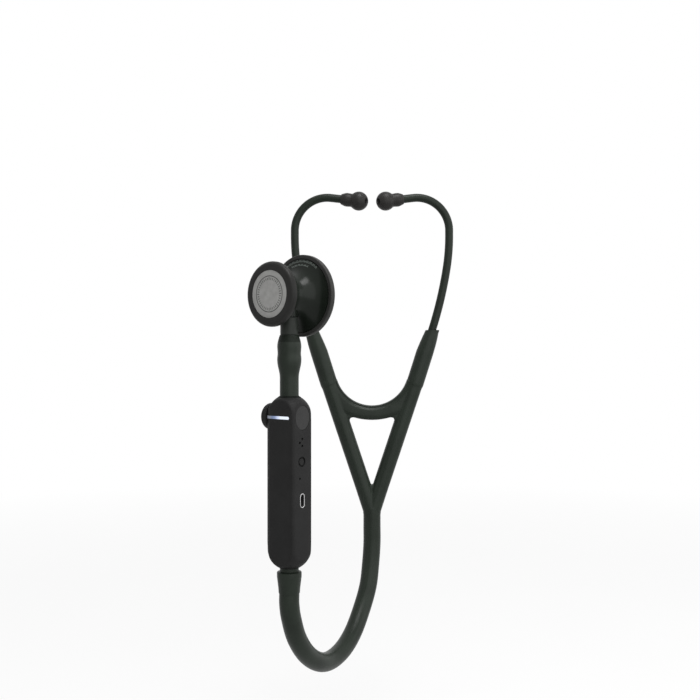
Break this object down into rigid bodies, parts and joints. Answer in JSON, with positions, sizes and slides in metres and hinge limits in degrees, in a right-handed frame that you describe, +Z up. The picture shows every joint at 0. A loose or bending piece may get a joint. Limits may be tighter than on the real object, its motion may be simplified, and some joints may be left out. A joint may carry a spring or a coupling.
{
  "type": "stethoscope",
  "caption": "Black digital cardiology stethoscope with a turning double-sided chestpiece, a slim sound module with controls, a hose and a sprung Y-shaped headset.",
  "frame": {"origin": "halfway between the inner ends of the two ear tips, where the wearer's head holds the headset", "axes": "+Z up as worn, along the headset; -Y to the front, where the sound module and chestpiece hang; +X to the right as seen from the front, from the left ear tip to the right ear tip of that view"},
  "size_m": [0.1356, 0.1382, 0.3213],
  "materials": {
    "tubing": "satin",
    "ear_tube": "satin",
    "ear_tip": "satin",
    "rim": "satin",
    "chest_metal": "gloss",
    "stem_metal": "satin",
    "grey_disc": "satin",
    "dark_disc": "satin",
    "case": "matte",
    "control": "matte",
    "steel": "satin",
    "light": "satin",
    "board": "satin",
    "cell": "satin",
    "electronics": "matte",
    "seal": "satin"
  },
  "bodies": {
    "yoke_and_module": {"yoke": "tubing", "yoke_leaf_spring": "steel", "main_hose": "tubing", "hose_collar": "tubing", "module_case": "case", "module_rear_cover": "case", "cover_screws": "steel", "light_guide": "light", "light_emitters": "light", "circuit_board": "board", "battery": "cell", "microphone": "electronics", "speaker": "electronics", "upper_barb": "case", "lower_barb": "case", "power_switch": "electronics", "pairing_switch": "electronics", "volume_encoder": "electronics", "charging_socket": "steel", "port_trim_ring": "steel", "neck_tube": "tubing", "stem": "stem_metal", "stem_clip": "steel", "stem_seal": "seal"},
    "left_arm": {"left_socket_sleeve": "tubing"},
    "right_arm": {"right_socket_sleeve": "tubing"},
    "left_ear": {"left_ear_tube": "ear_tube", "left_ear_tip": "ear_tip"},
    "right_ear": {"right_ear_tube": "ear_tube", "right_ear_tip": "ear_tip"},
    "chestpiece": {"chest_body": "chest_metal", "adult_diaphragm": "dark_disc", "adult_rim": "rim", "small_diaphragm": "grey_disc", "small_rim": "rim", "detent_ball": "steel", "detent_spring": "steel", "detent_screw": "steel"},
    "volume_knob": {"volume_knob": "control"},
    "power_button": {"power_button": "control"},
    "pairing_button": {"pairing_button": "control"}
  },
  "joints": [
    {"name": "chestpiece_turn", "type": "hinge", "parent": "yoke_and_module", "child": "chestpiece", "pos_m": [-0.0525, -0.1, -0.08], "axis": [0, 0, 1], "continuous": true},
    {"name": "left_arm_spread", "type": "hinge", "parent": "yoke_and_module", "child": "left_arm", "pos_m": [-0.0305, 0.007, -0.1297], "axis": [0, -1, 0], "range_deg": [-1, 30], "stiffness_Nm_per_rad": 1.3},
    {"name": "right_arm_spread", "type": "hinge", "parent": "yoke_and_module", "child": "right_arm", "pos_m": [0.0305, 0.007, -0.1297], "axis": [0, 1, 0], "range_deg": [-1, 30], "stiffness_Nm_per_rad": 1.3},
    {"name": "left_ear_tube_swivel", "type": "hinge", "parent": "left_arm", "child": "left_ear", "pos_m": [-0.0305, 0.007, -0.1297], "axis": [-0.3007, 0, 0.9537], "range_deg": [-20, 20]},
    {"name": "right_ear_tube_swivel", "type": "hinge", "parent": "right_arm", "child": "right_ear", "pos_m": [0.0305, 0.007, -0.1297], "axis": [0.3007, 0, 0.9537], "range_deg": [-20, 20]},
    {"name": "volume_knob_turn", "type": "hinge", "parent": "yoke_and_module", "child": "volume_knob", "pos_m": [-0.06144, -0.09354, -0.1452], "axis": [-0.766, 0.6428, 0], "range_deg": [-150, 150]},
    {"name": "power_button_press", "type": "slide", "parent": "yoke_and_module", "child": "power_button", "axis": [-0.766, 0.6428, 0], "range_m": [0, 0.0008], "stiffness_N_per_m": 2500, "springref_m": -0.0004},
    {"name": "pairing_button_press", "type": "slide", "parent": "yoke_and_module", "child": "pairing_button", "axis": [-0.766, 0.6428, 0], "range_m": [0, 0.0004], "stiffness_N_per_m": 3000, "springref_m": -0.0002}
  ]
}
